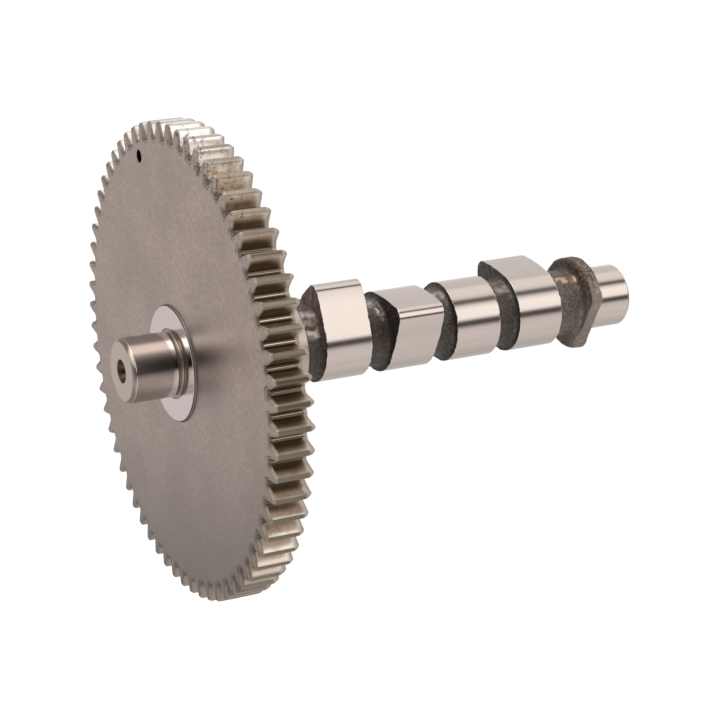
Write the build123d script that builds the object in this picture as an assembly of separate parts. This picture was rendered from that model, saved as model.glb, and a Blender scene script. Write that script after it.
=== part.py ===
"""Camshaft of a small V-twin engine, with its timing gear pressed on.

The shaft is one iron casting. Its journals, thrust shoulder, hub and four valve
lobes are machined, and its necks and the rear eccentric are left as cast. The
spur gear is a second piece on a turned seat.

The model is drawn along +X, with station 0 at the front face of the gear and
angles turning from +Y towards +Z. At the end it is laid down as it comes to
rest: on two teeth at the rear of the gear, and on the rear journal.
"""
import os
from math import acos, atan2, cos, degrees, hypot, pi, radians, sin, sqrt, tan

from build123d import *

# Timing gear, a full-depth involute spur gear of 12 diametral pitch
tooth_count = 64
tooth_module = 25.4 / 12
pressure_angle = 20
addendum = tooth_module
dedendum = 1.25 * tooth_module
root_fillet = 0.6
backlash = 0.1
gear_width = 12.0
front_rim_bevel = 0.6
rear_rim_bevel = 1.4
tooth_phase = -1.25
timing_hole_diameter = 3.6
timing_hole_depth = 5.0
timing_hole_inset = 4.4
timing_hole_lead = 3.5
drill_point_angle = 118

# Front end of the shaft, ahead of the gear
journal_diameter = 19.2
front_journal_reach = 16.1
journal_chamfer = 1.0
thrust_diameter = 34.1
thrust_proud = 0.8
thrust_chamfer = 0.3
undercut_length = 1.5
undercut_depth = 0.6
undercut_face_width = 0.8
undercut_face_depth = 0.25
centre_hole_diameter = 7.0
centre_hole_angle = 60
centre_drill_diameter = 2.5
centre_drill_depth = 3.0

# Behind the gear
shoulder_diameter = 42.0
shoulder_length = 3.0
hub_diameter = 27.6
hub_length = 22.2
hub_chamfer = 0.5
neck_diameter = 20.4
neck_taper_size = 1.5
hub_neck_length = 6.2

# Valve lobes, all of one outline
lobe_count = 4
lobe_base_diameter = 24.4
lobe_lift = 6.2
lobe_nose_radius = 3.25
lobe_flank_radius = 61.0
lobe_width = 15.0
lobe_gap = 7.0
first_lobe_angle = 26
bank_shift = 49
lobe_separation = 106

# Rear eccentric, as cast, and the rear journal
eccentric_neck_length = 8.9
eccentric_radius = 14.4
eccentric_throw = 0.6
eccentric_throw_angle = 180
eccentric_thickness = 5.3
eccentric_bevel = 1.0
eccentric_flat_distance = 10.8
eccentric_flat_angle = 135
rear_journal_length = 13.1

# Sizes that follow from the ones above
pitch_radius = tooth_count * tooth_module / 2
tip_radius = pitch_radius + addendum
root_radius = pitch_radius - dedendum
tooth_pitch_angle = 360 / tooth_count
journal_radius = journal_diameter / 2
thrust_radius = thrust_diameter / 2
neck_radius = neck_diameter / 2
hub_radius = hub_diameter / 2
base_radius = lobe_base_diameter / 2
lobe_pitch = lobe_width + lobe_gap
hub_end = gear_width + shoulder_length + hub_length
first_lobe_face = hub_end + hub_neck_length
last_lobe_end = first_lobe_face + (lobe_count - 1) * lobe_pitch + lobe_width
eccentric_face = last_lobe_end + eccentric_neck_length
rear_journal_face = eccentric_face + eccentric_thickness
rear_end = rear_journal_face + rear_journal_length


def polar(radius, angle, centre=(0, 0)):
    """Point at a radius and an angle in degrees from a centre."""
    return (centre[0] + radius * cos(radians(angle)), centre[1] + radius * sin(radians(angle)))


def bearing(start, end):
    """Angle in degrees of the line from one point to another."""
    return degrees(atan2(end[1] - start[1], end[0] - start[0]))


def involute(angle):
    """Involute function of a pressure angle in degrees, in degrees."""
    return degrees(tan(radians(angle))) - angle


def half_tooth_angle(radius):
    """Half the angle that a tooth fills at a radius, from its involute."""
    base = pitch_radius * cos(radians(pressure_angle))
    at_pitch = degrees((pi * tooth_module / 2 - backlash) / 2 / pitch_radius)
    return at_pitch + involute(pressure_angle) - involute(degrees(acos(base / radius)))


def circles_meet(centre_a, radius_a, centre_b, radius_b, side):
    """One of the two points where two circles meet, left or right of the line a to b."""
    span = hypot(centre_b[0] - centre_a[0], centre_b[1] - centre_a[1])
    along = (radius_a**2 - radius_b**2 + span**2) / (2 * span)
    across = side * degrees(atan2(sqrt(radius_a**2 - along**2), along))
    return polar(radius_a, bearing(centre_a, centre_b) + across, centre_a)


def tooth_edges():
    """One tooth about +X with its two root fillets and half of the root on each side."""
    radii = (root_radius, pitch_radius, tip_radius)
    flank_points = [polar(radius, half_tooth_angle(radius)) for radius in radii]
    flank_circle = ThreePointArc(*flank_points)
    flank_centre = (flank_circle.arc_center.X, flank_circle.arc_center.Y)
    flank_radius = flank_circle.radius
    fillet_centre = circles_meet(
        (0, 0), root_radius + root_fillet, flank_centre, flank_radius + root_fillet, side=1
    )
    fillet_root = polar(root_radius, bearing((0, 0), fillet_centre))
    fillet_flank = polar(flank_radius, bearing(flank_centre, fillet_centre), flank_centre)
    toe = bearing((0, 0), fillet_root)
    fillet_middle = polar(
        root_fillet,
        (bearing(fillet_centre, fillet_root) + bearing(fillet_centre, fillet_flank)) / 2,
        fillet_centre,
    )
    flank_middle = polar(pitch_radius, half_tooth_angle(pitch_radius))
    upper = [
        ThreePointArc(
            polar(root_radius, tooth_pitch_angle / 2),
            polar(root_radius, (tooth_pitch_angle / 2 + toe) / 2),
            fillet_root,
        ),
        ThreePointArc(fillet_root, fillet_middle, fillet_flank),
        ThreePointArc(fillet_flank, flank_middle, flank_points[-1]),
    ]
    lower = [edge.mirror(Plane.XZ) for edge in upper]
    land = half_tooth_angle(tip_radius)
    tip = ThreePointArc(polar(tip_radius, land), polar(tip_radius, 0), polar(tip_radius, -land))
    return upper + [tip] + lower


def gear_outline():
    """The whole toothed outline, drawn on the YZ plane."""
    tooth = tooth_edges()
    edges = []
    for number in range(tooth_count):
        angle = tooth_phase + number * tooth_pitch_angle
        edges += [edge.rotate(Axis.Z, angle) for edge in tooth]
    return Plane.YZ * make_face(Wire(edges))


def timing_hole():
    """Drilled mark in the front face of the gear, with its drill point."""
    radius = timing_hole_diameter / 2
    point = radius / tan(radians(drill_point_angle / 2))
    profile = Plane.XY * make_face(
        Polyline(
            (0, 0),
            (0, radius),
            (timing_hole_depth, radius),
            (timing_hole_depth + point, 0),
            close=True,
        )
    )
    y, z = polar(root_radius - timing_hole_inset, tooth_phase - timing_hole_lead)
    return Pos(0, y, z) * revolve(profile, Axis.X)


def rim_bevel(station, direction, size):
    """Ring that bevels the tips of the teeth at an end face, as the turned blank was."""
    margin = 1.0
    outline = Polyline(
        (station - direction * margin, tip_radius - size - margin),
        (station + direction * (size + margin), tip_radius + margin),
        (station - direction * margin, tip_radius + margin),
        close=True,
    )
    return revolve(make_face(outline), Axis.X)


def timing_gear():
    """Flat toothed disc with the bore that is pressed on the shaft's seat."""
    blank = extrude(gear_outline(), gear_width)
    bore = extrude(Plane.YZ * Circle(thrust_radius), gear_width)
    front_bevel = rim_bevel(0, 1, front_rim_bevel)
    rear_bevel = rim_bevel(gear_width, -1, rear_rim_bevel)
    return blank - bore - front_bevel - rear_bevel - timing_hole()


def turned_body():
    """Journals, thrust shoulder, gear seat, hub and necks, as one turned profile."""
    undercut_start = -thrust_proud - undercut_length
    outline = Polyline(
        (-front_journal_reach, 0),
        (-front_journal_reach, journal_radius - journal_chamfer),
        (-front_journal_reach + journal_chamfer, journal_radius),
        (undercut_start, journal_radius),
        (undercut_start + undercut_depth, journal_radius - undercut_depth),
        (-thrust_proud + undercut_face_depth, journal_radius - undercut_depth),
        (-thrust_proud + undercut_face_depth, journal_radius + undercut_face_width / 2),
        (-thrust_proud, journal_radius + undercut_face_width),
        (-thrust_proud, thrust_radius - thrust_chamfer),
        (-thrust_proud + thrust_chamfer, thrust_radius),
        (gear_width, thrust_radius),
        (gear_width, shoulder_diameter / 2),
        (gear_width + shoulder_length, shoulder_diameter / 2),
        (gear_width + shoulder_length, hub_radius),
        (hub_end - hub_chamfer, hub_radius),
        (hub_end, hub_radius - hub_chamfer),
        (hub_end, neck_radius),
        (rear_journal_face, neck_radius),
        (rear_journal_face, journal_radius),
        (rear_end - journal_chamfer, journal_radius),
        (rear_end, journal_radius - journal_chamfer),
        (rear_end, 0),
        close=True,
    )
    return revolve(make_face(outline), Axis.X)


def neck_taper(station, direction):
    """Cone that blends a neck into the face at a station, as the mould's corner does.

    It lies on the neck side of the face: direction is -1 where the neck comes before
    the face and 1 where it follows.
    """
    inner = neck_radius - neck_taper_size / 2
    toe = station + direction * neck_taper_size
    outline = Polyline(
        (station, inner),
        (station, neck_radius + neck_taper_size),
        (toe, neck_radius),
        (toe, inner),
        close=True,
    )
    return revolve(make_face(outline), Axis.X)


def lobe_outline():
    """Three-arc cam: base circle, two convex flanks and a nose, with the nose along +X."""
    nose_reach = base_radius + lobe_lift - lobe_nose_radius
    nose_centre = (nose_reach, 0)
    to_base = lobe_flank_radius - base_radius
    to_nose = lobe_flank_radius - lobe_nose_radius
    flank_centre = circles_meet((0, 0), to_base, nose_centre, to_nose, side=-1)
    base_side = bearing(flank_centre, (0, 0))
    nose_side = bearing(flank_centre, nose_centre)
    flank = ThreePointArc(
        polar(base_radius, base_side),
        polar(lobe_flank_radius, (base_side + nose_side) / 2, flank_centre),
        polar(lobe_nose_radius, nose_side, nose_centre),
    )
    nose = ThreePointArc(
        polar(lobe_nose_radius, nose_side, nose_centre),
        (nose_reach + lobe_nose_radius, 0),
        polar(lobe_nose_radius, -nose_side, nose_centre),
    )
    base = ThreePointArc(
        polar(base_radius, -base_side),
        (-base_radius, 0),
        polar(base_radius, base_side),
    )
    return make_face([base, flank, nose, flank.mirror(Plane.XZ)])


def lobe_angles():
    """Nose angles from front to rear: each cylinder has a pair, one bank shift apart."""
    leading = [first_lobe_angle + number * bank_shift for number in range(lobe_count // 2)]
    trailing = [angle - lobe_separation for angle in leading]
    return leading + trailing


def valve_lobes():
    """The ground lobes, each with a taper to the necks at its two cast faces."""
    outline = lobe_outline()
    lobes = []
    for number, angle in enumerate(lobe_angles()):
        face = first_lobe_face + number * lobe_pitch
        lobe = extrude(Plane.YZ * (Rot(0, 0, angle) * outline), lobe_width)
        lobes += [
            Pos(face, 0, 0) * lobe,
            neck_taper(face, -1),
            neck_taper(face + lobe_width, 1),
        ]
    return lobes


def cast_eccentric():
    """Offset disc with one flat and a bevelled rim, left rough from the mould."""
    centre = polar(eccentric_throw, eccentric_throw_angle)
    disc = Pos(*centre) * Circle(eccentric_radius)
    reach = 2 * eccentric_radius
    beyond_flat = Pos(eccentric_flat_distance + reach / 2, 0) * Rectangle(reach, 2 * reach)
    outline = disc - Rot(0, 0, eccentric_flat_angle) * beyond_flat
    body = extrude(Plane.YZ * outline, eccentric_thickness)
    rims = body.faces().sort_by(Axis.X)
    bevelled = chamfer(rims[0].edges() + rims[-1].edges(), eccentric_bevel)
    return Pos(eccentric_face, 0, 0) * bevelled


def centre_hole(station, direction):
    """Lathe centre in an end face: a cone and the pilot drilling at its bottom."""
    mouth = centre_hole_diameter / 2
    pilot = centre_drill_diameter / 2
    cone_depth = (mouth - pilot) / tan(radians(centre_hole_angle / 2))
    pilot_end = cone_depth + centre_drill_depth
    tip = pilot_end + pilot / tan(radians(drill_point_angle / 2))
    points = [(0, 0), (0, mouth), (cone_depth, pilot), (pilot_end, pilot), (tip, 0)]
    profile = [(station + direction * depth, radius) for depth, radius in points]
    return revolve(make_face(Polyline(*profile, close=True)), Axis.X)


def camshaft():
    """The casting with its machined faces, as one solid."""
    body = turned_body()
    for lump in valve_lobes():
        body += lump
    body += neck_taper(hub_end, 1)
    body += neck_taper(eccentric_face, -1)
    body += cast_eccentric()
    body -= centre_hole(-front_journal_reach, 1)
    body -= centre_hole(rear_end, -1)
    return body


def resting_place():
    """Move that lays the drawn part on the floor, before it is centred.

    A tooth space is turned straight down, so that two teeth carry the gear at their
    rear bevel, and the shaft tips until the rear journal's edge is as low as the teeth.
    """
    spaces = round((-90 - tooth_phase) / tooth_pitch_angle - 0.5)
    lowest_space = tooth_phase + (spaces + 0.5) * tooth_pitch_angle
    roll = -90 - lowest_space
    tooth_corner = tooth_pitch_angle / 2 - half_tooth_angle(tip_radius)
    drop = tip_radius * cos(radians(tooth_corner)) - journal_radius
    span = rear_end - journal_chamfer - (gear_width - rear_rim_bevel)
    tilt = degrees(atan2(drop, span))
    return Rot(0, tilt, 0) * Rot(roll, 0, 0)


def main():
    place = resting_place()
    nodes = {"camshaft": place * camshaft(), "timing_gear": place * timing_gear()}
    box = Compound(list(nodes.values())).bounding_box()
    centred = Pos(-box.center().X, -box.center().Y, -box.min.Z)
    os.makedirs("parts", exist_ok=True)
    for name, shape in nodes.items():
        export_step(centred * shape, f"parts/{name}.step")


main()
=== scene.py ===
"""Looks of a small engine's camshaft and its pressed-on timing gear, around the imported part.

Sizes are in millimetres until a mesh is made. A place on the shaft is a station along
its axis, from the front face of the gear to the rear, a radius and a turn about the axis.
A value named as some part's turn is in degrees: 0 is up in the camera's view, and 90 is
towards the lens. Inside the functions, turns are in radians.
"""

import bmesh
import bpy
import numpy as np
from mathutils import Matrix


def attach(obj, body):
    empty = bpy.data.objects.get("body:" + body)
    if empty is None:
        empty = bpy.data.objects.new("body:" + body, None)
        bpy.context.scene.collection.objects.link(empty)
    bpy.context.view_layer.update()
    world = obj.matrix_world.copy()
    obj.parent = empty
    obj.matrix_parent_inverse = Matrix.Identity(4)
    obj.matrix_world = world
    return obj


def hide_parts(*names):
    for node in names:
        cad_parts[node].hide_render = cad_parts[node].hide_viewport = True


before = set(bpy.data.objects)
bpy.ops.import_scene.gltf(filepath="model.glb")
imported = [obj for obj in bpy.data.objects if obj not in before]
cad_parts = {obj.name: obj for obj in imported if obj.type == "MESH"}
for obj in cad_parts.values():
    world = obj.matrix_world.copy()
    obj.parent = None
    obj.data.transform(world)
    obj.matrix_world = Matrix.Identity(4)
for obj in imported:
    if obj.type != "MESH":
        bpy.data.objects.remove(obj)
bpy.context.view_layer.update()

MM = 0.001

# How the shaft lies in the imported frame
gear_front_centre = np.array([-57.7248, 0.0, 68.315])
shaft_tilt = 23.2528
shaft_roll = -1.5625
tilted = Matrix.Rotation(np.radians(shaft_tilt), 3, "Y")
rolled = Matrix.Rotation(np.radians(shaft_roll), 3, "X")
lay = np.array(tilted @ rolled)

# Timing gear
tooth_count = 64
tooth_module = 25.4 / 12
pressure_angle = np.radians(20)
pitch_radius = tooth_count * tooth_module / 2
tip_radius = pitch_radius + tooth_module
root_radius = pitch_radius - 1.25 * tooth_module
backlash = 0.1
gear_width = 12.0
front_rim = 1.05
rear_rim = 2.1
tooth_phase = -1.25
tooth_pitch = 360 / tooth_count
timing_hole_radius = 1.9
timing_hole_depth = 5.0
timing_hole_point = 1.1
timing_hole_place = root_radius - 4.4
timing_hole_turn = -4.75
hole_window = 3.2
hole_window_turn = 3.1
hole_rows = 6
web_radius = 36.0
rear_face_radius = root_radius - 3.2
rim_steps = 6

# Rounding of the timing hole's rim: (depth, swell)
hole_rim = ((0.0, 0.08), (0.03, 0.02), (0.1, 0.0))

# Turned parts of the shaft
journal_radius = 9.6
front_end = -16.1
journal_chamfer = 1.0
thrust_radius = 17.05
undercut_start = -2.3
undercut_floor_start = -1.72
undercut_floor_end = -0.55
undercut_radius = 9.02
thrust_face = -0.8
thrust_inner_radius = 10.4
shoulder_radius = 21.0
shoulder_end = gear_width + 3.0
hub_radius = 13.8
hub_end = shoulder_end + 22.2
neck_radius = 10.2
centre_mouth = 3.5
centre_pilot = 1.25
centre_cone = 3.9
centre_depth = 6.9
centre_point = 7.6

# Cams and the rear end
lobe_base = 12.2
lobe_lift = 6.2
lobe_nose = 3.25
lobe_flank = 61.0
lobe_width = 15.0
lobe_gap = 7.0
lobe_pitch = lobe_width + lobe_gap
lobe_noses = (26, 75, -80, -31)
first_lobe = hub_end + 6.2
last_lobe_end = first_lobe + len(lobe_noses) * lobe_pitch - lobe_gap
eccentric_start = last_lobe_end + 8.9
eccentric_end = eccentric_start + 5.3
eccentric_radius = 14.4
eccentric_throw = 0.6
eccentric_flat = 10.8
eccentric_flat_turn = 135
rear_end = eccentric_end + 13.1

# Where each neck starts: behind the hub, then behind each cam
neck_starts = [hub_end]
neck_starts += [first_lobe + lobe_width + number * lobe_pitch for number in range(len(lobe_noses))]

# Flash left by the mould: (neck, how far along it, turn, half length, half spread, height, how light:
# rubbed bare and painted highlight)
flash_marks = (
    (0, 3.7, 38, 2.3, 14, 0.4, 1.15),
    (0, 2.8, 56, 2.4, 8, 0.1, 0.6),
    (0, 2.9, 76, 2.4, 10, 0.2, 0.95),
    (1, 2.8, 28, 2.8, 15, 0.1, 0.75),
    (1, 4.8, 52, 0.45, 13, 0.35, 1.0),
    (1, 5.7, 62, 0.35, 13, 0.4, 0.9),
    (2, 4.2, 34, 2.6, 12, 0.1, 0.7),
    (3, 4.0, 45, 2.2, 10, 0.1, 0.7),
    (4, 3.8, 46, 3.0, 11, 0.1, 0.95),
    (4, 8.0, 49, 0.7, 9, 0.35, 1.1),
)

# Turns that the gear's nicks, stains, painted shade, painted warm light and lighter and darker lands lie
# towards
nicked_turn = 35
stain_and_shade_turn = 87
painted_land_shade_turn = 120
lighter_land_turn = 14
darker_land_turn = -8
painted_warm_light_turn = 150
painted_underside_shade_turn = 195
painted_far_rim_shade_turn = -35
painted_low_rim_shade_turn = 170

# Turns that the painted shade on the cast skin, the speckled eccentric and the painted highlight on the
# chamfers lie towards
shaded_turn = 125
speckled_turn = 78
painted_chamfer_highlight_turn = 60

# Turns seen from the camera
upward_turn = 0
lens_turn = 90
downward_turn = 180

shaft_sides = 320
turns = np.radians(np.arange(shaft_sides) * 360 / shaft_sides)


def from_turn(turn, centre):
    """Angle from a centre in degrees, in radians between minus and plus half a turn."""
    return (turn - np.radians(centre) + np.pi) % (2 * np.pi) - np.pi


def laid(station, radius, turn):
    """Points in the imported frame: the axis point at the station plus the radius along the turn."""
    station, radius, turn = np.broadcast_arrays(station, radius, turn)
    drawn = np.stack([station, radius * np.cos(turn), radius * np.sin(turn)], -1)
    return gear_front_centre + drawn @ lay.T


def grain(points, size, seed, waves=48):
    """Smooth noise of about unit height: a sum of cosine waves of random directions and phases.

    Every wave's length lies between 0.7 and 1.4 times the size.
    """
    rng = np.random.default_rng(seed)
    heading = rng.normal(size=(waves, 3))
    heading /= np.linalg.norm(heading, axis=1, keepdims=True)
    heading *= 2 * np.pi / (size * rng.uniform(0.7, 1.4, (waves, 1)))
    total = np.zeros(points.shape[:-1])
    for way, phase in zip(heading, rng.uniform(0, 2 * np.pi, waves)):
        total += np.cos(points @ way + phase)
    return total * np.sqrt(2 / waves)


def outward_normals(points):
    """Unit normals of a grid of rows by turns: the cross product of its two central differences."""
    along = np.gradient(points, axis=0)
    around = np.roll(points, -1, axis=1) - np.roll(points, 1, axis=1)
    normals = np.cross(around, along)
    return normals / np.maximum(np.linalg.norm(normals, axis=-1, keepdims=True), 1e-9)


def rounded_meridian(corners):
    """Rows of a body of revolution, from corner points with a rounding radius each.

    A corner is (station, radius, rounding, steps, rows after, cast after), where station and
    radius may change with the turn. Each rounding is the arc that touches both runs, turned
    from one touching point to the other in equal angles. Returns stations, radii and cast skin.
    """
    places = np.array([np.stack(np.broadcast_arrays(*corner[:2], turns)[:2], -1) for corner in corners])
    rows, skins = [places[0]], [corners[0][5]]
    last = places[0]
    for number in range(1, len(corners)):
        here = places[number]
        rounding, steps = corners[number][2:4]
        between, cast_before = corners[number - 1][4:6]
        cast_after = corners[number][5]
        if rounding > 0:
            back = places[number - 1] - here
            ahead = places[number + 1] - here
            back = back / np.linalg.norm(back, axis=-1, keepdims=True)
            ahead = ahead / np.linalg.norm(ahead, axis=-1, keepdims=True)
            bend = np.arccos(np.clip((back * ahead).sum(-1, keepdims=True), -1, 1))
            reach = rounding / np.tan(bend / 2)
            middle = back + ahead
            middle = middle / np.linalg.norm(middle, axis=-1, keepdims=True)
            centre = here + middle * rounding / np.sin(bend / 2)
            start = here + back * reach - centre
            end = here + ahead * reach - centre
            sweep = np.pi - bend
            arc = [
                centre + (np.sin((1 - s) * sweep) * start + np.sin(s * sweep) * end) / np.sin(sweep)
                for s in np.linspace(0, 1, steps + 1)
            ]
        else:
            arc = [here]
        run = [last + (arc[0] - last) * s for s in np.linspace(0, 1, between + 2)[1:-1]]
        rows += run + arc
        skins += [cast_before] * len(run) + list(np.linspace(cast_before, cast_after, len(arc)))
        last = arc[-1]
    rows = np.array(rows)
    skins = np.array(skins, float)[:, None] * np.ones(turns.shape)
    return rows[..., 0], rows[..., 1], skins


def cam_radius(nose_turn):
    """Radius of a cam at every turn: the ray's distance to the base circle, flank arc or nose arc."""
    offset = np.abs(from_turn(turns, nose_turn))
    nose_centre = lobe_base + lobe_lift - lobe_nose
    to_base = lobe_flank - lobe_base
    to_nose = lobe_flank - lobe_nose
    along = (to_base**2 - to_nose**2 + nose_centre**2) / (2 * nose_centre)
    across = -np.sqrt(to_base**2 - along**2)
    nose_turns = np.arctan2(-across, nose_centre - along)
    nose_touch = np.array([nose_centre + lobe_nose * np.cos(nose_turns), lobe_nose * np.sin(nose_turns)])
    nose_limit = np.arctan2(nose_touch[1], nose_touch[0])
    base_limit = np.arctan2(-across, -along)
    flank_along = along * np.cos(offset) + across * np.sin(offset)
    flank = flank_along + np.sqrt(np.maximum(flank_along**2 - along**2 - across**2 + lobe_flank**2, 0))
    nose_along = nose_centre * np.cos(offset)
    nose = nose_along + np.sqrt(np.maximum(nose_along**2 - nose_centre**2 + lobe_nose**2, 0))
    return np.where(offset < nose_limit, nose, np.where(offset < base_limit, flank, lobe_base))


def eccentric_outline():
    """Radius of the rear eccentric: its offset circle, cut by the flat with a soft corner."""
    centre_turn = turns - np.pi
    circle = eccentric_throw * np.cos(centre_turn)
    circle += np.sqrt(eccentric_radius**2 - (eccentric_throw * np.sin(centre_turn)) ** 2)
    facing = np.cos(turns - np.radians(eccentric_flat_turn))
    flat = np.where(facing > 0.3, eccentric_flat / np.maximum(facing, 0.3), 99)
    sharpness = 4.0
    return -np.log(np.exp(-sharpness * circle) + np.exp(-sharpness * flat)) / sharpness


def ragged(station, seed, height=0.05):
    """Station of a cast face at every turn, with the small waves that a sand mould leaves."""
    face_radius = 13
    rim = face_radius * np.stack([np.zeros(turns.shape), np.cos(turns), np.sin(turns)], -1)
    return station + height * grain(rim, 2.6, seed)


def shaft_corners():
    """Corners of the shaft's meridian from the front lathe centre to the rear one."""
    corners = [
        (front_end + centre_point, 0.0, 0, 0, 1, 0),
        (front_end + centre_depth, centre_pilot, 0, 0, 1, 0),
        (front_end + centre_cone, centre_pilot, 0.1, 1, 1, 0),
        (front_end, centre_mouth, 0.12, 3, 0, 0),
        (front_end, centre_mouth + 0.4, 0, 0, 0, 0),
        (front_end, journal_radius - journal_chamfer - 0.35, 0, 0, 0, 0),
        (front_end, journal_radius - journal_chamfer, 0.15, 3, 1, 0),
        (front_end + journal_chamfer, journal_radius, 0.15, 3, 0, 0),
        (front_end + journal_chamfer + 0.35, journal_radius, 0, 0, 1, 0),
        (undercut_start - 0.3, journal_radius, 0, 0, 0, 0),
        (undercut_start, journal_radius, 0.05, 2, 0, 0),
        (undercut_floor_start, undercut_radius, 0.25, 3, 0, 0),
        (undercut_floor_end, undercut_radius, 0.5, 5, 0, 0),
        (undercut_floor_end, thrust_inner_radius - 0.4, 0.08, 2, 0, 0),
        (thrust_face, thrust_inner_radius, 0.08, 2, 0, 0),
        (thrust_face, thrust_inner_radius + 0.3, 0, 0, 1, 0),
        (thrust_face, thrust_radius - 0.65, 0, 0, 0, 0),
        (thrust_face, thrust_radius - 0.3, 0.1, 3, 0, 0),
        (thrust_face + 0.3, thrust_radius, 0.1, 3, 0, 0),
        (-0.06, thrust_radius, 0, 0, 0, 0),
        (0.04, thrust_radius - 0.03, 0, 0, 0, 0),
        (gear_width, thrust_radius - 0.03, 0, 0, 0, 0),
        (gear_width, shoulder_radius - 0.7, 0, 0, 0, 0),
        (gear_width, shoulder_radius, 0.3, 3, 1, 0),
        (shoulder_end, shoulder_radius, 0.3, 3, 0, 0),
        (shoulder_end, shoulder_radius - 0.7, 0, 0, 1, 0),
        (shoulder_end, hub_radius, 0.8, 4, 0, 0),
        (shoulder_end + 1.2, hub_radius, 0, 0, 3, 0),
        (hub_end - 1.0, hub_radius, 0, 0, 0, 0),
        (hub_end - 0.5, hub_radius, 0.15, 2, 0, 0),
        (hub_end, hub_radius - 0.5, 0.15, 2, 0, 0),
        (hub_end, hub_radius - 1.0, 0, 0, 0, 0),
        (hub_end, neck_radius + 1.9, 0, 0, 0, 1),
        (hub_end, neck_radius, 1.6, 4, 5, 1),
    ]
    for number, nose_turn in enumerate(lobe_noses):
        start = ragged(first_lobe + number * lobe_pitch, seed=20 + number)
        end = ragged(first_lobe + number * lobe_pitch + lobe_width, seed=40 + number)
        cam = cam_radius(nose_turn)
        corners += [
            (start, neck_radius, 1.5, 4, 5, 1),
            (start, cam, 0.14, 2, 0, 0),
            (start + 0.45, cam, 0, 0, 1, 0),
            (end - 0.45, cam, 0, 0, 0, 0),
            (end, cam, 0.14, 2, 5, 1),
            (end, neck_radius, 1.5, 4, 5, 1),
        ]
    outline = eccentric_outline()
    corners += [
        (eccentric_start, neck_radius, 1.7, 4, 3, 1),
        (ragged(eccentric_start, 61), outline, 1.3, 5, 4, 1),
        (ragged(eccentric_end, 62), outline, 1.3, 5, 4, 1),
        (eccentric_end, journal_radius + 0.5, 0, 0, 0, 0),
        (eccentric_end, journal_radius, 0.3, 3, 0, 0),
        (eccentric_end + 0.7, journal_radius, 0, 0, 1, 0),
        (rear_end - journal_chamfer - 0.35, journal_radius, 0, 0, 0, 0),
        (rear_end - journal_chamfer, journal_radius, 0.15, 3, 0, 0),
        (rear_end, journal_radius - journal_chamfer, 0.15, 3, 0, 0),
        (rear_end, journal_radius - journal_chamfer - 0.35, 0, 0, 0, 0),
        (rear_end, centre_mouth + 0.4, 0, 0, 0, 0),
        (rear_end, centre_mouth, 0.12, 3, 1, 0),
        (rear_end - centre_cone, centre_pilot, 0.1, 1, 1, 0),
        (rear_end - centre_depth, centre_pilot, 0, 0, 1, 0),
        (rear_end - centre_point, 0.0, 0, 0, 0, 0),
    ]
    return corners


def flash(points, station):
    """Height of the mould's flash, and how light it is: partly rubbed bare, partly a painted highlight.

    Each mark is a hill over station and turn, broken up by the grain. The same marks are on the far side.
    """
    height = np.zeros(points.shape[:-1])
    rubbed = np.zeros(points.shape[:-1])
    broken = np.clip(0.9 + 0.35 * grain(points, 2.2, seed=6), 0, 1.2)
    for neck, distance, turn, length, spread, rise, bare in flash_marks:
        along = ((station - neck_starts[neck] - distance) / length) ** 2
        for side in (turn, turn + 180):
            hill = np.exp(-(along**2) - (from_turn(turns, side) / np.radians(spread)) ** 4) * broken
            height += rise * hill
            rubbed = np.maximum(rubbed, bare * hill)
    return height, rubbed


def camshaft():
    """Closed skin of the casting: the rounded meridian turned about the axis, with its cast relief."""
    station, radius, cast = rounded_meridian(shaft_corners())
    points = laid(station, radius, turns)
    normals = outward_normals(points)
    facing = normals @ lay[:, 0]
    sand = 0.03 * grain(points, 1.2, seed=3) + 0.03 * grain(points, 0.7, seed=4)
    uneven = 0.035 * grain(points, 5.5, seed=5)
    on_neck = radius < neck_radius + 1.6
    height, rubbed = flash(points, station)
    points = points + normals * (cast * (sand + uneven + height * on_neck))[..., None]
    layers = {"cast_skin": cast, "facing": facing, "rubbed": rubbed * cast}
    return closed_skin("camshaft_casting", points, layers)


def add_mesh(name, points, faces, layers):
    """One piece from points in millimetres, its faces, and values at its points."""
    mesh = bpy.data.meshes.new(name)
    mesh.from_pydata((points * MM).tolist(), [], faces.tolist())
    for layer, values in layers.items():
        made = mesh.attributes.new(layer, "FLOAT", "POINT")
        made.data.foreach_set("value", values.ravel().astype(np.float32))
    piece = bpy.data.objects.new(name, mesh)
    bpy.context.scene.collection.objects.link(piece)
    return piece


def quads(rows, around, closed_rows=False):
    """Corner numbers of a grid's faces; the grid closes on itself around, and along its rows if asked."""
    down = np.arange(rows if closed_rows else rows - 1)[:, None]
    side = np.arange(around)[None, :]
    below = (down + 1) % rows
    beside = (side + 1) % around
    corners = (down * around + side, below * around + side, below * around + beside, down * around + beside)
    return np.stack(np.broadcast_arrays(*corners), -1).reshape(-1, 4)


def weld(piece, sharp_above=50):
    """Joins points that share a place, turns all faces outward and shades smooth up to an angle."""
    shell = bmesh.new()
    shell.from_mesh(piece.data)
    bmesh.ops.remove_doubles(shell, verts=shell.verts, dist=1e-7)
    bmesh.ops.recalc_face_normals(shell, faces=shell.faces)
    shell.to_mesh(piece.data)
    shell.free()
    piece.data.shade_smooth()
    piece.data.set_sharp_from_angle(angle=np.radians(sharp_above))
    return piece


def closed_skin(name, points, layers):
    """Piece from a grid whose first and last rows are single points."""
    rows, around = points.shape[:2]
    piece = add_mesh(name, points.reshape(-1, 3), quads(rows, around), layers)
    return weld(piece)


def half_tooth(radius):
    """Half the angle that a tooth fills at a radius, by the involute of its base circle."""
    base = pitch_radius * np.cos(pressure_angle)
    at_pitch = (np.pi * tooth_module / 2 - backlash) / 2 / pitch_radius
    slope = np.arccos(np.clip(base / radius, 0, 1))
    return at_pitch + (np.tan(pressure_angle) - pressure_angle) - (np.tan(slope) - slope)


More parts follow.
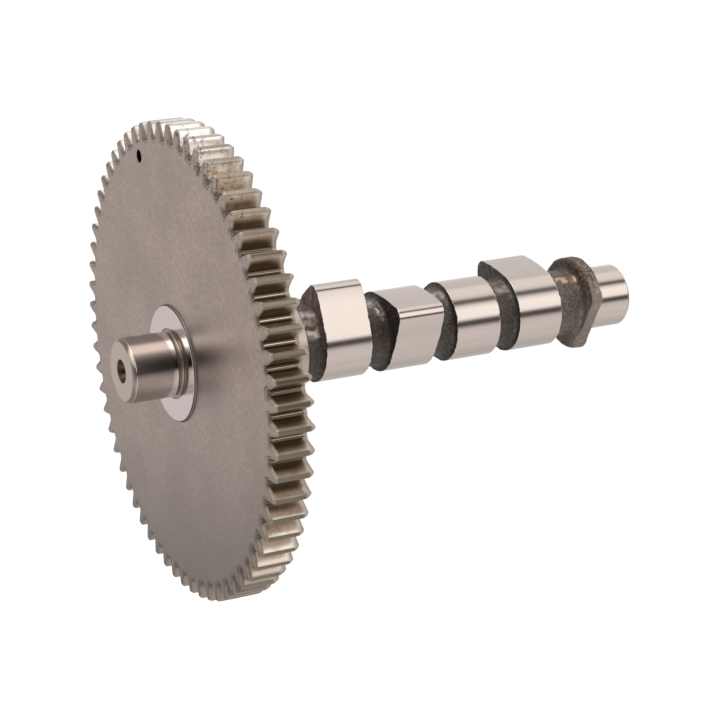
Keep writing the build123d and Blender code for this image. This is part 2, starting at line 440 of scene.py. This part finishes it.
def half_tooth_profile():
    """Radius and turn from the middle of a root to the middle of a land.

    The root arc, a blend for the fillet, the involute flank, a rounded tip corner and the land.
    """
    half_pitch = np.pi / tooth_count
    toe = half_tooth(root_radius + 0.2)
    fillet_rise = np.array([0, 0.06, 0.22, 0.45])
    fillet_spread = np.array([0.62, 0.36, 0.15, 0.04]) / root_radius
    flank = np.linspace(root_radius + 0.75, tip_radius - 0.28, 6)
    land = half_tooth(tip_radius)
    corner_drop = np.array([0.13, 0.04, 0])
    corner_inset = np.array([0.02, 0.1, 0.27]) / tip_radius
    radius = np.concatenate(
        [[root_radius] * 2, root_radius + fillet_rise, flank, tip_radius - corner_drop, [tip_radius] * 2]
    )
    turn = np.concatenate(
        [
            [half_pitch, (half_pitch + toe + fillet_spread[0]) / 2],
            toe + fillet_spread,
            half_tooth(flank),
            land - corner_inset,
            [land * 0.4, 0],
        ]
    )
    return radius, turn


def gear_outline():
    """The whole toothed outline in the plane of the gear.

    Gives its points, unit vectors into the metal, turns, and 1 at the middle of each root.
    """
    radius, turn = half_tooth_profile()
    radius = np.concatenate([radius, radius[-2:0:-1]])
    turn = np.concatenate([-turn, turn[-2:0:-1]])
    valley = np.tile(np.arange(len(radius)) == 0, tooth_count)
    centres = np.radians(tooth_phase + tooth_pitch * np.arange(tooth_count))
    turn = (centres[:, None] + turn).ravel()
    radius = np.tile(radius, tooth_count)
    places = np.stack([radius * np.cos(turn), radius * np.sin(turn)], -1)
    tangent = np.roll(places, -1, 0) - np.roll(places, 1, 0)
    tangent /= np.linalg.norm(tangent, axis=-1, keepdims=True)
    inward = np.stack([-tangent[:, 1], tangent[:, 0]], -1)
    for _ in range(2):
        inward = inward + 0.5 * (np.roll(inward, 1, 0) + np.roll(inward, -1, 0))
        inward /= np.linalg.norm(inward, axis=-1, keepdims=True)
    return places, inward, turn, valley


def edge_wear(places, turn, rounding, seed):
    """Size of the tumbled rounding along a rim of teeth, with nicks that crowd on a few of them."""
    spot = np.concatenate([places, np.zeros((len(places), 1))], -1)
    wear = rounding * (1 + 0.1 * grain(spot, 6.0, seed) + 0.06 * grain(spot, 1.4, seed + 1))
    nicks = np.clip(grain(spot, 1.1, seed + 2) - 0.9, 0, 1.2)
    crowded = np.exp(-((from_turn(turn, nicked_turn) / 0.35) ** 2))
    return np.maximum(wear + nicks * (0.12 + 0.5 * crowded), rounding * 0.6)


def set_in(places, inward, depth):
    """The outline moved into the metal by a depth; near a tip each flank keeps to its side of the tooth."""
    radius = np.linalg.norm(places, axis=-1)
    ray = places / radius[:, None]
    across = np.stack([-ray[:, 1], ray[:, 0]], -1)
    sink = depth * (inward * ray).sum(-1)
    slide = depth * (inward * across).sum(-1)
    room = 0.8 * half_tooth(radius) * radius
    slide = room * np.tanh(slide / room)
    return places + ray * sink[:, None] + across * slide[:, None]


def timing_gear():
    """Closed skin of the gear.

    Its outline is carried over the front face, the teeth, the rear face and the bore. A row is a
    station, its points in the plane of the gear and how far it belongs to an end face.
    """
    places, inward, turn, valley = gear_outline()
    rays = np.stack([np.cos(turn), np.sin(turn)], -1)
    bore = thrust_radius + 0.02
    support = 0.3

    def ring(station, radius):
        """A round row of an end face."""
        return np.full(turn.shape, float(station)), rays * radius, 1.0

    def rim(face, into, wear):
        """Rows from an end face over its rounded rim to the sides of the teeth."""
        rows = [(face + 0 * wear, set_in(places, inward, wear + support), 1.0)]
        for roll in np.linspace(0, np.pi / 2, rim_steps + 1):
            station = face + into * wear * (1 - np.cos(roll))
            rows.append((station, set_in(places, inward, wear * (1 - np.sin(roll))), np.cos(roll)))
        rows.append((face + into * (wear + support), places, 0.0))
        return rows

    rows = [ring(0.1, bore), ring(0, bore + 0.1), ring(0, bore + 0.4), ring(0, web_radius)]
    window = len(rows)
    offsets = np.linspace(-hole_window, hole_window, hole_rows + 1)
    rows += [ring(0, timing_hole_place + offset) for offset in offsets]
    rows += rim(0, 1, edge_wear(places, turn, front_rim, seed=11))
    rows += rim(gear_width, -1, edge_wear(places, turn, rear_rim, seed=15))[::-1]
    rows += [ring(gear_width, rear_face_radius), ring(gear_width, web_radius)]
    rows += [ring(gear_width, bore + 0.4), ring(gear_width, bore + 0.1), ring(gear_width - 0.1, bore)]
    station, flat, end_face = zip(*rows)
    points = gear_front_centre + np.concatenate([np.array(station)[..., None], np.array(flat)], -1) @ lay.T
    end_face = np.array(end_face)[:, None] * np.ones(turn.shape)
    valley = np.broadcast_to(valley, end_face.shape)
    faces = quads(*points.shape[:2], closed_rows=True)
    hole_points, hole_faces, cut = timing_hole(points, window, turn)
    faces = np.concatenate([np.delete(faces, cut, 0), hole_faces])
    # Painted shade inside the timing hole: 1 a little below the face.
    depth = np.maximum((hole_points - gear_front_centre) @ lay[:, 0], 0)
    drilled = np.concatenate([np.zeros(end_face.size), np.clip(depth / 0.08, 0, 1)])
    end_face = np.concatenate([end_face.ravel(), np.ones(len(hole_points))])
    valley = np.concatenate([valley.ravel(), np.zeros(len(hole_points))])
    points = np.concatenate([points.reshape(-1, 3), hole_points])
    layers = {"end_face": end_face, "drilled": drilled, "valley": valley}
    return weld(add_mesh("timing_gear_blank", points, faces, layers))


def timing_hole(points, window, turn):
    """Drilled mark in the front face: a patch of the face drawn in to the hole's rim, wall and point.

    The patch's border runs round a window in the rings of the face. Rows go from the border to the
    rim at the same bearing from the hole's centre, then down the wall and in to the drill's point.
    """
    around = len(turn)
    away = from_turn(turn, timing_hole_turn)
    inside = np.flatnonzero(np.abs(away) < np.radians(hole_window_turn))
    inside = inside[np.argsort(away[inside])]
    rings = (window + np.arange(hole_rows + 1)) * around
    sides = rings[1:-1]
    border = np.concatenate(
        [rings[0] + inside, sides + inside[-1], rings[-1] + inside[::-1], sides[::-1] + inside[0]]
    )
    edge = points.reshape(-1, 3)[border]
    centre = laid(0, timing_hole_place, np.radians(timing_hole_turn))
    axis = lay[:, 0]
    bearing = edge - centre
    bearing /= np.linalg.norm(bearing, axis=-1, keepdims=True)
    rim = centre + bearing * timing_hole_radius
    rows = [edge + (rim + bearing * 0.2 - edge) * share for share in (0, 0.5, 1)]
    for depth, swell in (*hole_rim, (timing_hole_depth, 0.0)):
        rows.append(rim + bearing * swell + axis * depth)
    rows.append(np.broadcast_to(centre + axis * (timing_hole_depth + timing_hole_point), edge.shape))
    rows = np.array(rows)
    faces = quads(*rows.shape[:2]) + points.shape[0] * around
    return rows.reshape(-1, 3), faces, (rings[:-1, None] + inside[:-1]).ravel()


class Wire:
    """One output in a node tree. Sums and products of wires and numbers add Math nodes."""

    def __init__(self, sheet, socket):
        self.sheet = sheet
        self.socket = socket

    def math(self, operation, first, second):
        """Math node of two wires or numbers."""
        return self.sheet.node("ShaderNodeMath", {"operation": operation}, {0: first, 1: second})

    def __add__(self, other):
        return self.math("ADD", self, other)

    def __sub__(self, other):
        return self.math("SUBTRACT", self, other)

    def __rsub__(self, other):
        return self.math("SUBTRACT", other, self)

    def __mul__(self, other):
        return self.math("MULTIPLY", self, other)

    def __abs__(self):
        return self.math("ABSOLUTE", self, 0)

    __radd__ = __add__
    __rmul__ = __mul__

    def step(self, low, high):
        """Smooth step from 0 at low to 1 at high."""
        settings = {"interpolation_type": "SMOOTHSTEP"}
        values = {"Value": self, "From Min": low, "From Max": high}
        return self.sheet.node("ShaderNodeMapRange", settings, values)


def set_stops(elements, stops):
    """Gives a colour ramp's elements their (position, colour) stops."""
    while len(elements) < len(stops):
        elements.new(0.5)
    for element, (place, colour) in zip(elements, stops):
        element.position = place
        element.color = (*colour, 1)


class Sheet:
    """A node tree being written: every node comes from its one method."""

    def __init__(self, tree):
        self.tree = tree
        tree.nodes.clear()

    def node(self, kind, settings, values, output=0):
        """Adds a node: its settings or stops, then its inputs, each of them a wire or a plain value."""
        made = self.tree.nodes.new(kind)
        for name, value in settings.items():
            if name == "stops":
                set_stops(made.color_ramp.elements, value)
            else:
                setattr(made, name, value)
        for name, value in values.items():
            if isinstance(value, Wire):
                self.tree.links.new(value.socket, made.inputs[name])
            else:
                made.inputs[name].default_value = value
        return Wire(self, made.outputs[output]) if made.outputs else made

    def ramp(self, value, stops):
        """Colour ramp with the given (position, colour) stops."""
        return self.node("ShaderNodeValToRGB", {"stops": stops}, {0: value})

    def mix(self, factor, first, second):
        """Colour between two others."""
        first, second = (c if isinstance(c, Wire) else (*c, 1) for c in (first, second))
        return self.node("ShaderNodeMix", {"data_type": "RGBA"}, {0: factor, 6: first, 7: second}, output=2)

    def attribute(self, name):
        """Value that a piece carries at its points."""
        return self.node("ShaderNodeAttribute", {"attribute_name": name}, {}, output=2)

    def noise(self, place, scale, detail=2.0, roughness=0.5):
        """Cloudy noise between 0 and 1, with about scale waves to the millimetre."""
        values = {"Vector": place, "Scale": scale, "Detail": detail, "Roughness": roughness}
        return self.node("ShaderNodeTexNoise", {}, values)


def shaft_place(sheet):
    """Object coordinates turned so that X runs along the shaft from the gear's front, in millimetres."""
    tilt = -np.radians(shaft_tilt)
    shift = np.array(Matrix.Rotation(tilt, 3, "Y")) @ -gear_front_centre
    place = sheet.node("ShaderNodeTexCoord", {}, {}, output=3)
    values = {"Vector": place, "Location": shift, "Rotation": (0, tilt, 0), "Scale": (1 / MM,) * 3}
    return sheet.node("ShaderNodeMapping", {"vector_type": "POINT"}, values)


def radius_of(sheet, place):
    """Distance from the shaft's axis, in millimetres."""
    across = sheet.node("ShaderNodeVectorMath", {"operation": "MULTIPLY"}, {0: place, 1: (0, 1, 1)})
    return sheet.node("ShaderNodeVectorMath", {"operation": "LENGTH"}, {0: across}, output=1)


def turning_marks(sheet, place, radius, scale):
    """Fine rings that a wheel or a tool leaves: noise that changes along the axis and with the radius."""
    station = sheet.node("ShaderNodeSeparateXYZ", {}, {0: place}, output=0)
    slow = sheet.node("ShaderNodeSeparateXYZ", {}, {0: place}, output=1)
    rings = sheet.node("ShaderNodeCombineXYZ", {}, {0: station * scale, 1: radius * scale, 2: slow * 0.25})
    return sheet.noise(rings, 1.0, 3.0, 0.6)


def start_material(name):
    """An empty material and its sheet."""
    material = bpy.data.materials.new(name)
    material.use_nodes = True
    return material, Sheet(material.node_tree)


def finish_surface(sheet, colour, roughness, metallic, height, depth):
    """Principled surface with a bump, wired to the output."""
    bump = sheet.node("ShaderNodeBump", {}, {"Height": height, "Distance": depth, "Strength": 1.0})
    surface = sheet.node(
        "ShaderNodeBsdfPrincipled",
        {},
        {"Base Color": colour, "Roughness": roughness, "Metallic": metallic, "Normal": bump},
    )
    sheet.node("ShaderNodeOutputMaterial", {}, {"Surface": surface})


def along_turn(sheet, place, turn):
    """Distance of a place from the axis, measured towards a turn in degrees."""
    way = (0.0, float(np.cos(np.radians(turn))), float(np.sin(np.radians(turn))))
    return sheet.node("ShaderNodeVectorMath", {"operation": "DOT_PRODUCT"}, {0: place, 1: way}, output=1)


def machined_colour(sheet, place, station, radius, facing):
    """Ground and turned faces: their colour, with painted shade and highlight on the chamfers, ring bevel
    and lathe centres, their turning marks, and how much duller some are.
    """
    marks = turning_marks(sheet, place, radius, 7)
    cloud = sheet.noise(place, 0.12, 2.0)
    steel = sheet.mix(cloud, (0.60, 0.515, 0.465), (0.63, 0.545, 0.495))
    steel = sheet.mix(marks * 0.3, steel, (0.52, 0.45, 0.405))
    front_journal = 1 - station.step(undercut_start - 0.3, undercut_start)
    steel = sheet.mix(front_journal, steel, (0.70, 0.66, 0.63))

    from_middle = abs(station - 0.5 * (front_end + rear_end))
    half_length = 0.5 * (rear_end - front_end)
    chamfer_start = half_length - journal_chamfer
    end = from_middle.step(half_length - 0.06, half_length - 0.02)
    steel = sheet.mix(end, steel, (0.485, 0.39, 0.335))
    ring = station.step(thrust_face - 0.1, thrust_face - 0.02)
    ring = ring * (1 - station.step(thrust_face + 0.1, thrust_face + 0.2))
    ring = ring * radius.step(thrust_inner_radius - 0.1, thrust_inner_radius + 0.05)
    steel = sheet.mix(ring, steel, (0.68, 0.575, 0.555))

    chamfer = from_middle.step(chamfer_start - 0.02, chamfer_start + 0.05) - end
    # Painted shade and a painted highlight: the chamfers are darker on the side towards the lens and much
    # lighter a little above it.
    painted_chamfer_shade = along_turn(sheet, place, lens_turn)
    painted_chamfer_shade = painted_chamfer_shade.step(journal_radius - journal_chamfer, journal_radius - 0.3)
    chamfer_skin = sheet.mix(painted_chamfer_shade, (0.31, 0.25, 0.205), (0.15, 0.115, 0.09))
    lit = along_turn(sheet, place, painted_chamfer_highlight_turn).step(journal_radius - 1.1, journal_radius - 0.4)
    chamfer_skin = sheet.mix(lit, chamfer_skin, (0.76, 0.64, 0.51))
    steel = sheet.mix(chamfer, steel, chamfer_skin)

    ahead_of_gear = 1 - station.step(0.0, 0.1)
    undercut = station.step(undercut_start - 0.1, undercut_start + 0.1) * ahead_of_gear
    undercut = undercut * (1 - radius.step(thrust_inner_radius - 0.05, thrust_inner_radius + 0.05))
    steel = sheet.mix(undercut, steel, (0.36, 0.30, 0.25))
    # Painted shade: the thrust ring's rounded edge is near black, its side lighter.
    bevel = station.step(thrust_face + 0.06, thrust_face + 0.1) * ahead_of_gear
    bevel = bevel * radius.step(thrust_radius - 1.05, thrust_radius - 0.85)
    half_way_back = station.step(thrust_face + 0.25, thrust_face + 0.38)
    bevel_skin = sheet.mix(half_way_back, (0.06, 0.052, 0.047), (0.56, 0.50, 0.46))
    steel = sheet.mix(bevel, steel, bevel_skin)

    hub = station.step(gear_width, gear_width + 0.1) * (1 - station.step(hub_end, hub_end + 0.1))
    steel = sheet.mix(hub, steel, (0.50, 0.41, 0.345))
    # Painted shade: the inside of the lathe centres is near black.
    centre = 1 - radius.step(centre_mouth - 0.12, centre_mouth + 0.02)
    centre = centre * (1 - abs(facing).step(0.9, 0.99))
    steel = sheet.mix(centre, steel, (0.08, 0.052, 0.036))
    duller = (chamfer + undercut + hub) * 0.2 + centre * 0.15 + bevel * 0.4
    return steel, marks, duller


def rusty_colour(sheet, place, station, facing):
    """Skin of the eccentric: brown, with light scale on the side in view and painted shade in the hollow
    ahead of it.
    """
    scale = sheet.noise(place, 0.9, 4.0, 0.7)
    low_side = (along_turn(sheet, place, shaded_turn) + (scale - 0.5) * 8).step(4, 12)
    rusty = sheet.mix(low_side, (0.115, 0.078, 0.054), (0.29, 0.23, 0.20))
    speckled = along_turn(sheet, place, speckled_turn).step(4, 13)
    scaly = scale.step(0.45, 0.62) * (0.25 + speckled * 0.5)
    rusty = sheet.mix(scaly, rusty, (0.42, 0.35, 0.29))
    # Painted shade: the fillet ahead of the eccentric on the side in view is near black.
    painted_hollow_shade = (0.5 - abs(facing + 0.5)).step(0.02, 0.3) * speckled
    painted_hollow_shade = painted_hollow_shade * station.step(eccentric_start - 1.3, eccentric_start + 0.1)
    return sheet.mix(painted_hollow_shade * 0.8, rusty, (0.035, 0.025, 0.016))


def cast_colour(sheet, place, station, facing, crumbs):
    """Sand-cast skin: its colour, with painted shade on one side and on the cams' side faces and painted
    highlights on the flash, and the height of its grains.
    """
    blotch = sheet.noise(place, 0.4, 4.0, 0.65)
    sand = sheet.noise(place, 2.2, 3.0, 0.65)
    # Painted shade: the cast skin is darker on its lower side.
    shaded = (along_turn(sheet, place, shaded_turn) + (blotch - 0.5) * 6).step(-3, 8)
    near_eccentric = station.step(last_lobe_end - 0.4, last_lobe_end + 1.6)
    crust = sheet.mix(shaded, (0.26, 0.225, 0.195), (0.125, 0.104, 0.088))
    crust = sheet.mix(near_eccentric, crust, (0.24, 0.20, 0.175))

    first = 1 - station.step(first_lobe + 1, first_lobe + 2)
    # Painted shade: the cams' side faces are darker than the necks, and the first cam's front face is
    # lighter.
    side_face_shade = sheet.mix(first, (0.145, 0.122, 0.112), (0.40, 0.32, 0.29))
    side = (facing * facing).step(0.3, 0.8)
    crust = sheet.mix(side * 0.85, crust, side_face_shade)
    crust = sheet.mix(blotch.step(0.35, 0.6) * 0.35, crust, (0.05, 0.04, 0.033))
    crust = sheet.mix(0.6 - sand.step(0.36, 0.6) * 0.6, crust, (0.03, 0.024, 0.02))
    crust = sheet.mix(sand.step(0.58, 0.74) * (0.4 - side * 0.15), crust, (0.40, 0.35, 0.30))
    on_eccentric = station.step(eccentric_start - 1.5, eccentric_start + 0.5)
    crust = sheet.mix(on_eccentric * 0.9, crust, rusty_colour(sheet, place, station, facing))

    # Partly rubbed flash, partly painted highlights: light streaks on the necks and a cream spot on the
    # eccentric's neck.
    bare_and_highlight = sheet.attribute("rubbed") + (crumbs - 0.5) * 0.7
    stain_and_shade = sheet.mix(near_eccentric, (0.36, 0.30, 0.235), (0.25, 0.145, 0.08))
    bright = sheet.mix(near_eccentric, (0.60, 0.52, 0.47), (0.66, 0.50, 0.37))
    crust = sheet.mix(bare_and_highlight.step(0.2, 0.45) * 0.75, crust, stain_and_shade)
    crust = sheet.mix(bare_and_highlight.step(0.6, 0.95) * 0.85, crust, bright)
    return crust, sand + blotch * 0.5


def iron():
    """Ground and turned iron, with dark sand-cast skin where the piece says so."""
    material, sheet = start_material("ground_and_cast_iron")
    facing = sheet.attribute("facing")
    place = shaft_place(sheet)
    station = sheet.node("ShaderNodeSeparateXYZ", {}, {0: place}, output=0)
    crumbs = sheet.noise(place, 1.6, 3.0)
    skin = (sheet.attribute("cast_skin") + (crumbs - 0.5) * 0.5).step(0.42, 0.58)
    steel, marks, duller = machined_colour(sheet, place, station, radius_of(sheet, place), facing)
    crust, grains = cast_colour(sheet, place, station, facing, crumbs)
    colour = sheet.mix(skin, steel, crust)
    roughness = 0.115 + marks * 0.05 + skin * 0.36 + duller
    metallic = 1 - skin * 0.2
    height = marks * 0.012 * (1 - skin) + skin * grains * 0.8
    finish_surface(sheet, colour, roughness, metallic, height, 0.1 * MM)
    return material


def gear_face_colour(sheet, place, radius, fine):
    """Satin end face: finely mottled, with painted shade low down and a painted reflection of the journal
    beside the ring.
    """
    broad = sheet.noise(place, 0.05, 4.0, 0.6)
    face = sheet.mix(broad.step(0.35, 0.65), (0.405, 0.31, 0.265), (0.475, 0.365, 0.31))
    face = sheet.mix(fine.step(0.38, 0.62) * 0.45, face, (0.28, 0.21, 0.18))
    pits = sheet.noise(place, 0.5, 2.0).step(0.70, 0.76)
    face = sheet.mix(pits * 0.45, face, (0.12, 0.09, 0.075))
    # Painted shade: the face is darker low down.
    low = along_turn(sheet, place, downward_turn).step(5, 75)
    face = sheet.mix(low * 0.85, face, (0.15, 0.118, 0.10))
    # A painted reflection of the journal: a dark patch on the face beside the ring.
    beside = along_turn(sheet, place, lens_turn).step(5, 15) * (1 - radius.step(22, 46))
    beside = beside * (1 - abs(along_turn(sheet, place, upward_turn)).step(5, 15))
    return sheet.mix(beside * 0.5, face, (0.14, 0.11, 0.095))


def tooth_colour(sheet, place, radius, stain, towards, stain_and_shade):
    """Silvery flanks with stains, painted shade and painted warm light; lands lighter or darker at a few
    turns and with painted shade low down; roots painted dark as shade, with a painted glint line in some.
    """
    silver = sheet.mix(stain.step(0.4, 0.75), (0.93, 0.87, 0.81), (0.80, 0.72, 0.63))
    # Painted warm light: flanks on the lower side are tinted warmer.
    silver = sheet.mix(along_turn(sheet, place, painted_warm_light_turn).step(48, 60), silver, (0.70, 0.60, 0.51))
    # Painted shade: flanks on the underside are much darker.
    silver = sheet.mix(along_turn(sheet, place, painted_underside_shade_turn).step(34, 62), silver, (0.34, 0.275, 0.225))
    # Flanks on that side: partly stain, partly painted shade.
    stain_and_shade_flank = sheet.mix(towards.step(50, 66), (0.72, 0.62, 0.52), (0.56, 0.47, 0.39))
    stain_and_shade_flank = sheet.mix(stain.step(0.4, 0.65) * 0.7, stain_and_shade_flank, (0.42, 0.335, 0.25))
    # Painted shade deep in the gaps between teeth on that side.
    painted_root_shade = (1 - radius.step(root_radius + 1.2, pitch_radius + 1.0)) * towards.step(46, 58)
    stain_and_shade_flank = sheet.mix(painted_root_shade * 0.75, stain_and_shade_flank, (0.19, 0.145, 0.09))
    flank = sheet.mix(stain_and_shade, silver, stain_and_shade_flank)

    land = sheet.mix(stain, (0.45, 0.38, 0.305), (0.31, 0.25, 0.19))
    # Painted shade: lands low down are darker.
    land = sheet.mix(along_turn(sheet, place, painted_land_shade_turn).step(20, 60), land, (0.20, 0.165, 0.12))
    # A few lands near the top are much lighter, and a few beside them darker.
    land = sheet.mix(along_turn(sheet, place, lighter_land_turn).step(67.8, 69.2), land, (0.77, 0.71, 0.665))
    land = sheet.mix(along_turn(sheet, place, darker_land_turn).step(67.5, 69), land, (0.22, 0.19, 0.165))

    # Roots are painted dark as shade.
    root = sheet.mix(stain, (0.12, 0.09, 0.06), (0.18, 0.14, 0.10))
    teeth = sheet.mix(radius.step(tip_radius - 0.4, tip_radius - 0.05), flank, land)
    teeth = sheet.mix(radius.step(root_radius + 0.1, root_radius + 0.9), root, teeth)
    # A painted glint: a bright line along the roots on one side.
    painted_root_glint = sheet.attribute("valley").step(0.2, 0.8) * towards.step(54, 59)
    return sheet.mix(painted_root_glint, teeth, (0.80, 0.72, 0.60))


def rim_colour(sheet, place, radius, stain_and_shade, behind):
    """Tumbled rims of the teeth: tan in front, with painted shade low down, on the far side and near the
    roots, lighter behind.
    """
    rim = sheet.mix(stain_and_shade, (0.50, 0.43, 0.37), (0.48, 0.40, 0.325))
    # Painted shade: rims low down and on the far side are darker.
    rim = sheet.mix(along_turn(sheet, place, painted_low_rim_shade_turn).step(15, 50), rim, (0.37, 0.30, 0.245))
    rim = sheet.mix(along_turn(sheet, place, painted_far_rim_shade_turn).step(20, 60), rim, (0.27, 0.225, 0.185))
    # Painted shade: rims near the roots are darker.
    rim = sheet.mix(radius.step(root_radius + 0.2, root_radius + 1.6), (0.20, 0.16, 0.125), rim)
    return sheet.mix(behind, rim, (0.58, 0.48, 0.42))


def gear_steel():
    """Grey-brown gear: satin end faces, teeth with stains and painted shade, tumbled rims, dark specks at
    the nicks, painted shade in the timing hole.
    """
    material, sheet = start_material("tumbled_gear_steel")
    end = sheet.attribute("end_face")
    place = shaft_place(sheet)
    station = sheet.node("ShaderNodeSeparateXYZ", {}, {0: place}, output=0)
    radius = radius_of(sheet, place)
    fine = sheet.noise(place, 0.7, 3.0, 0.8)
    stain = sheet.noise(place, 0.3, 4.0, 0.65)
    towards = along_turn(sheet, place, stain_and_shade_turn)
    # Partly stains, partly painted shade: the teeth towards this side are browner and darker, broken up by
    # noise.
    stain_and_shade = (towards + (stain - 0.5) * 26).step(40, 52)

    teeth = tooth_colour(sheet, place, radius, stain, towards, stain_and_shade)
    face = gear_face_colour(sheet, place, radius, fine)
    colour = sheet.mix(end.step(0.3, 0.8), teeth, face)
    edge = end * (1 - end) * 4
    behind = station.step(0.5 * gear_width, 0.5 * gear_width + 1)
    rim = rim_colour(sheet, place, radius, stain_and_shade, behind)
    colour = sheet.mix(edge.step(0.1, 0.7) * (0.9 - behind * 0.3), colour, rim)
    specks = sheet.noise(place, 0.8, 3.0, 0.6).step(0.55, 0.63)
    crowded = along_turn(sheet, place, nicked_turn).step(62, 66) * (1 - station.step(2, 8))
    colour = sheet.mix(specks * crowded * 0.8, colour, (0.10, 0.07, 0.048))
    # Painted shade: the timing hole's inside is near black.
    colour = sheet.mix(sheet.attribute("drilled"), colour, (0.03, 0.02, 0.018))
    roughness = 0.27 + fine * 0.05 + end * 0.06 + edge * 0.28
    finish_surface(sheet, colour, roughness, 1.0, fine, 0.03 * MM)
    return material


def studio():
    """World: plain white to the camera, and a pale studio with dark and bright strips along the shaft.

    A strip's place is the angle of its direction about the shaft, and its level is the light there.
    """
    world = bpy.data.worlds.new("studio")
    bpy.context.scene.world = world
    world.use_nodes = True
    sheet = Sheet(world.node_tree)
    heading = sheet.node("ShaderNodeTexCoord", {}, {}, output=0)
    brightest = 2.75

    def share(axis):
        """How far a direction runs along one of the shaft's own axes."""
        values = {0: heading, 1: tuple(float(part) for part in lay[:, axis])}
        return sheet.node("ShaderNodeVectorMath", {"operation": "DOT_PRODUCT"}, values, output=1)

    along, up, near = share(0), share(1), share(2)
    turn = near.math("ARCTAN2", near, up) * (0.5 / np.pi) + 0.5

    def strips(stops, tint=(1, 1, 1)):
        """Levels of light round the shaft, from (angle, level) stops."""
        tinted = np.array(tint) / brightest
        return sheet.ramp(turn, [((angle + 180) / 360, tinted * level) for angle, level in stops])

    rearward = strips(
        [
            (-180, 0.72), (-160, 0.55), (-146, 0.5), (-110, 0.5), (-75, 1.0), (-60, 0.84), (-24, 0.84),
            (-15, 0.76), (-3, 1.28), (18, 1.2), (31, 0.98), (38, 0.2), (45, 0.15), (56, 1.2), (66, 1.55),
            (91, 1.5), (100, 0.12), (109, 0.07), (121, 0.86), (140, 0.94), (160, 0.88), (179.9, 0.68),
        ]
    )
    forward = strips(
        [
            (-180, 0.7), (-150, 0.35), (-120, 0.22), (-100, 0.64), (-80, 0.64), (-64, 0.24), (-20, 0.22),
            (-10, 0.4), (-3, 1.2), (5, 2.75), (32, 2.75), (42, 0.95), (56, 0.35), (68, 0.07), (84, 0.0),
            (106, 0.0), (114, 0.55), (126, 0.95), (155, 1.0), (179.9, 0.75),
        ]
    )
    ahead = strips(
        [
            (-180, 0.8), (-150, 0.35), (-125, 0.2), (-102, 0.65), (-78, 0.65), (-62, 0.15), (-12, 0.1),
            (-3, 0.9), (6, 2.2), (36, 2.2), (45, 0.9), (52, 0.2), (66, 0.05), (113, 0.05), (122, 1.3),
            (160, 1.6), (179.9, 1.1),
        ],
        tint=(0.88, 0.95, 1.0),
    )
    straight_ahead = tuple(0.9 / brightest * part for part in (0.96, 0.98, 1.0))
    front = sheet.mix(along.step(-0.56, -0.46), ahead, forward)
    front = sheet.mix(along.step(-0.86, -0.76), straight_ahead, front)
    light = sheet.mix(along.step(0.0, 0.15), front, rearward)
    lit = sheet.node("ShaderNodeBackground", {}, {"Color": light, "Strength": brightest})
    white = sheet.node("ShaderNodeBackground", {}, {"Color": (1, 1, 1, 1), "Strength": 1.0})
    seen = sheet.node("ShaderNodeLightPath", {}, {}, output=0)
    both = sheet.node("ShaderNodeMixShader", {}, {0: seen, 1: lit, 2: white})
    sheet.node("ShaderNodeOutputWorld", {}, {"Surface": both})


def floor():
    """Plain pale floor with a faint shadow of the part.

    Metal mirrors it only in part, and through it the studio's lower half.
    """
    reach = 3.0
    plain_share = 0.86
    clear_share = 0.6
    plain_level = 1.1
    glow_level = 0.24
    corners = [(-reach, -reach, 0), (reach, -reach, 0), (reach, reach, 0), (-reach, reach, 0)]
    mesh = bpy.data.meshes.new("floor")
    mesh.from_pydata(corners, [], [(0, 1, 2, 3)])
    piece = bpy.data.objects.new("floor", mesh)
    bpy.context.scene.collection.objects.link(piece)
    material, sheet = start_material("floor_paper")
    paper = sheet.node("ShaderNodeBsdfDiffuse", {}, {"Color": (0.9, 0.9, 0.9, 1)})
    white = sheet.node("ShaderNodeEmission", {}, {"Color": (1, 1, 1, 1), "Strength": plain_level})
    clear = sheet.node("ShaderNodeBsdfTransparent", {}, {})
    seen = sheet.node("ShaderNodeLightPath", {}, {}, output=0)
    mirrored = sheet.node("ShaderNodeLightPath", {}, {}, output=3)
    glow = sheet.node("ShaderNodeEmission", {}, {"Color": (1, 1, 1, 1), "Strength": glow_level})
    below = sheet.node("ShaderNodeAddShader", {}, {0: clear, 1: glow})
    open_paper = sheet.node("ShaderNodeMixShader", {}, {0: mirrored * clear_share, 1: paper, 2: below})
    both = sheet.node("ShaderNodeMixShader", {}, {0: seen * plain_share, 1: open_paper, 2: white})
    sheet.node("ShaderNodeOutputMaterial", {}, {"Surface": both})
    mesh.materials.append(material)


def camera():
    """Long lens almost straight above, at the photograph's angle to the shaft."""
    lens = bpy.data.cameras.new("camera")
    lens.lens = 107.1
    lens.sensor_width = 36
    lens.clip_end = 10
    view = bpy.data.objects.new("camera", lens)
    view.location = np.array([-31.3442, 49.0353, 686.5265]) * MM
    view.rotation_euler = np.radians([-4.7212, -3.1026, -6.8291])
    bpy.context.scene.collection.objects.link(view)
    bpy.context.scene.camera = view


def place_piece(piece, node, material):
    """Gives a piece its finish, hangs it under the root body and hides the imported part that it replaces.
    """
    piece.data.materials.append(material)
    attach(piece, "root")
    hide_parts(node)


bpy.context.scene.view_settings.view_transform = "Standard"
camera()
studio()
floor()
place_piece(camshaft(), "camshaft", iron())
place_piece(timing_gear(), "timing_gear", gear_steel())
